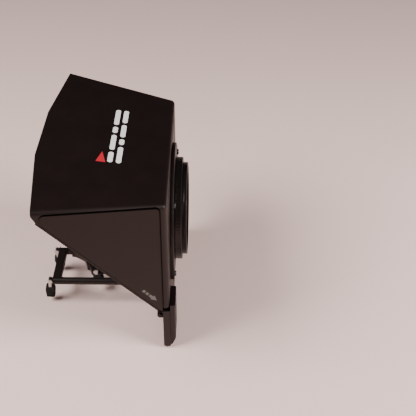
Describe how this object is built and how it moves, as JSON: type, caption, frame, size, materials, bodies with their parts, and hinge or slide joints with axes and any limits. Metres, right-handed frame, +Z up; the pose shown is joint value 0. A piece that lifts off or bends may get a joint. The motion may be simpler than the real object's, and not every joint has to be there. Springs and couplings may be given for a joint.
{
  "type": "teleprompter",
  "caption": "Compact phone teleprompter that screws onto a camera lens, with a flared rigid hood, sloping beam splitter and folding phone holder.",
  "frame": {"origin": "on the lens axis, at the face of the adapter ring that seats on the lens", "axes": "+Y towards the camera along the lens axis, -Y towards the presenter, +Z up, X across"},
  "size_m": [0.1998, 0.1243, 0.1616],
  "materials": {
    "hood_plastic": "fine moulded texture",
    "frame_plastic": "satin moulded",
    "black_metal": "satin black anodised",
    "rail_metal": "satin black",
    "screw_steel": "black oxide",
    "pin_black": "black oxide",
    "spring_steel": "bright spring steel",
    "prong_steel": "bright turned steel",
    "claw_rubber": "matt",
    "foam": "open foam",
    "glass": "coated to reflect a third of the light",
    "white_ink": "printed",
    "black_ink": "filled engraving",
    "grey_ink": "printed",
    "red_ink": "printed"
  },
  "bodies": {
    "frame": {"main_frame": "frame_plastic", "leg_cover_right": "frame_plastic", "leg_cover_left": "frame_plastic", "cover_screws": "screw_steel", "mount_plate": "frame_plastic", "plate_screws": "screw_steel", "glass_hinge_pins": "pin_black", "hinge_washers": "spring_steel", "holder_hinge_pin": "pin_black"},
    "adapter": {"adapter_ring": "black_metal", "index_mark": "black_ink", "retainer_ring": "black_metal", "retainer_screws": "screw_steel", "light_gasket": "foam"},
    "ring_lock": {"ring_lock_screw": "screw_steel", "ring_lock_knob": "black_metal"},
    "hood": {"hood_shell": "hood_plastic", "hood_emblem": "white_ink", "hood_cue_mark": "red_ink", "push_label_right": "grey_ink", "push_label_left": "grey_ink"},
    "glass": {"glass_frame": "frame_plastic", "glass_gasket": "foam", "beam_splitter": "glass", "glass_clips": "spring_steel", "clip_screws": "screw_steel"},
    "holder": {"holder_base": "frame_plastic", "rail_right": "rail_metal", "rail_left": "rail_metal", "rail_set_screws": "screw_steel", "front_bar": "frame_plastic"},
    "jaw": {"jaw_slider": "frame_plastic"},
    "jaw_lock": {"jaw_lock_screw": "black_metal"},
    "claw_front_right": {"claw_fork_front_right": "prong_steel", "claw_pad_front_right": "claw_rubber"},
    "claw_front_left": {"claw_fork_front_left": "prong_steel", "claw_pad_front_left": "claw_rubber"},
    "claw_rear_right": {"claw_fork_rear_right": "prong_steel", "claw_pad_rear_right": "claw_rubber"},
    "claw_rear_left": {"claw_fork_rear_left": "prong_steel", "claw_pad_rear_left": "claw_rubber"}
  },
  "joints": [
    {"name": "ring_turn", "type": "hinge", "parent": "frame", "child": "adapter", "pos_m": [0, 0, 0], "axis": [0, 1, 0], "continuous": true},
    {"name": "ring_lock_turn", "type": "hinge", "parent": "frame", "child": "ring_lock", "pos_m": [0, -0.0022, 0], "axis": [-0.9397, 0, -0.342], "range_deg": [0, 360]},
    {"name": "hood_lift", "type": "slide", "parent": "frame", "child": "hood", "axis": [0, 0, 1], "range_m": [0, 0.06]},
    {"name": "glass_tilt", "type": "hinge", "parent": "frame", "child": "glass", "pos_m": [0, -0.0169, -0.054], "axis": [1, 0, 0], "range_deg": [0, 35]},
    {"name": "holder_fold", "type": "hinge", "parent": "frame", "child": "holder", "pos_m": [0, -0.0204, -0.0665], "axis": [1, 0, 0], "range_deg": [-45, 0]},
    {"name": "jaw_slide", "type": "slide", "parent": "holder", "child": "jaw", "axis": [0, 1, 0], "range_m": [0, 0.037]},
    {"name": "jaw_lock_turn", "type": "hinge", "parent": "jaw", "child": "jaw_lock", "pos_m": [-0.03, -0.086, -0.0665], "axis": [-1, 0, 0], "range_deg": [0, 360]},
    {"name": "claw_swing_front_right", "type": "hinge", "parent": "holder", "child": "claw_front_right", "pos_m": [0.0195, -0.1154, -0.066], "axis": [-1, 0, 0], "range_deg": [0, 150]},
    {"name": "claw_swing_front_left", "type": "hinge", "parent": "holder", "child": "claw_front_left", "pos_m": [-0.0195, -0.1154, -0.066], "axis": [-1, 0, 0], "range_deg": [0, 150]},
    {"name": "claw_swing_rear_right", "type": "hinge", "parent": "jaw", "child": "claw_rear_right", "pos_m": [0.0065, -0.0773, -0.066], "axis": [1, 0, 0], "range_deg": [0, 150]},
    {"name": "claw_swing_rear_left", "type": "hinge", "parent": "jaw", "child": "claw_rear_left", "pos_m": [-0.0065, -0.0773, -0.066], "axis": [1, 0, 0], "range_deg": [0, 150]}
  ]
}
